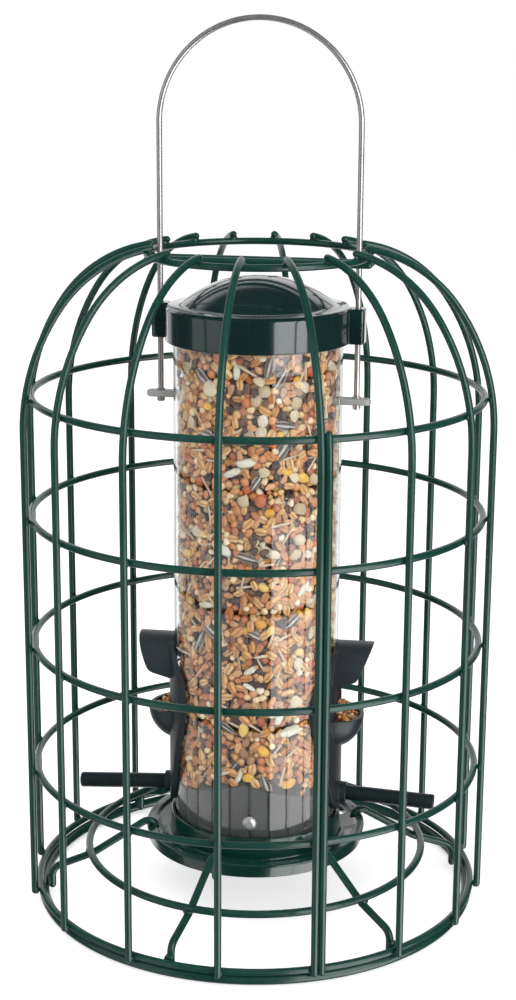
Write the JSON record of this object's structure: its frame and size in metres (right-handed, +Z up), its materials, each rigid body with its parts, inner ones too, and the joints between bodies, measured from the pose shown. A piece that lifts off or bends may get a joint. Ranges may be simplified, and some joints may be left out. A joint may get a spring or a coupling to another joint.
{
  "type": "squirrel proof bird feeder",
  "caption": "Hanging tube bird feeder with feeding ports and perches inside a domed wire cage that keeps squirrels off; cage and lid slide up the bail handle for refilling.",
  "frame": {"origin": "centre of the base ring at the level it stands on", "axes": "+Z up along the tube, X through the handle's legs with the ports turned 2.6 degrees from it, Y across"},
  "size_m": [0.1928, 0.1928, 0.3619],
  "materials": {
    "coated_wire": "dark green gloss coating on steel wire",
    "green_plastic": "very dark green glossy moulding",
    "plug_plastic": "grey fluted moulding",
    "screw_steel": "bright steel screw",
    "rivet_aluminium": "bright domed head",
    "clear_plastic": "clear see-through tube",
    "port_plastic": "charcoal moulding",
    "perch_plastic": "near-black satin rod",
    "bar_plastic": "light grey moulding",
    "handle_steel": "plain bright wire",
    "seed": "mixed dry seed"
  },
  "bodies": {
    "feeder": {"base_ring": "coated_wire", "base_mid_ring": "coated_wire", "base_spoke_1": "coated_wire", "base_spoke_2": "coated_wire", "base_spoke_3": "coated_wire", "base_spoke_4": "coated_wire", "base_spoke_5": "coated_wire", "base_spoke_6": "coated_wire", "drip_tray": "green_plastic", "base_plug": "plug_plastic", "base_screw": "screw_steel", "rivet_front": "rivet_aluminium", "rivet_back": "rivet_aluminium", "seed_tube": "clear_plastic", "port_right": "port_plastic", "port_left": "port_plastic", "perch_right": "perch_plastic", "perch_left": "perch_plastic", "hanger_bar": "bar_plastic", "handle": "handle_steel", "seed_fill": "seed", "seed_in_cup_right": "seed", "seed_in_cup_left": "seed"},
    "cage": {"cage_rib_01": "coated_wire", "cage_rib_02": "coated_wire", "cage_rib_03": "coated_wire", "cage_rib_04": "coated_wire", "cage_rib_05": "coated_wire", "cage_rib_06": "coated_wire", "cage_rib_07": "coated_wire", "cage_rib_08": "coated_wire", "cage_rib_09": "coated_wire", "cage_rib_10": "coated_wire", "cage_rib_11": "coated_wire", "cage_rib_12": "coated_wire", "cage_rib_13": "coated_wire", "cage_rib_14": "coated_wire", "cage_rib_15": "coated_wire", "cage_rib_16": "coated_wire", "cage_seam_wire": "coated_wire", "cage_bottom_ring": "coated_wire", "cage_ring_1": "coated_wire", "cage_ring_2": "coated_wire", "cage_ring_3": "coated_wire", "cage_ring_4": "coated_wire", "cage_top_ring": "coated_wire", "cage_guide_bar_front": "coated_wire", "cage_guide_bar_back": "coated_wire"},
    "lid": {"lid": "green_plastic"}
  },
  "joints": [
    {"name": "cage_slide", "type": "slide", "parent": "feeder", "child": "cage", "axis": [0, 0, 1], "range_m": [0, 0.09]},
    {"name": "lid_slide", "type": "slide", "parent": "feeder", "child": "lid", "axis": [0, 0, 1], "range_m": [0, 0.07]}
  ],
  "couplings": [
    {"joint": "lid_slide", "follows": "cage_slide", "ratio": 0.77}
  ]
}
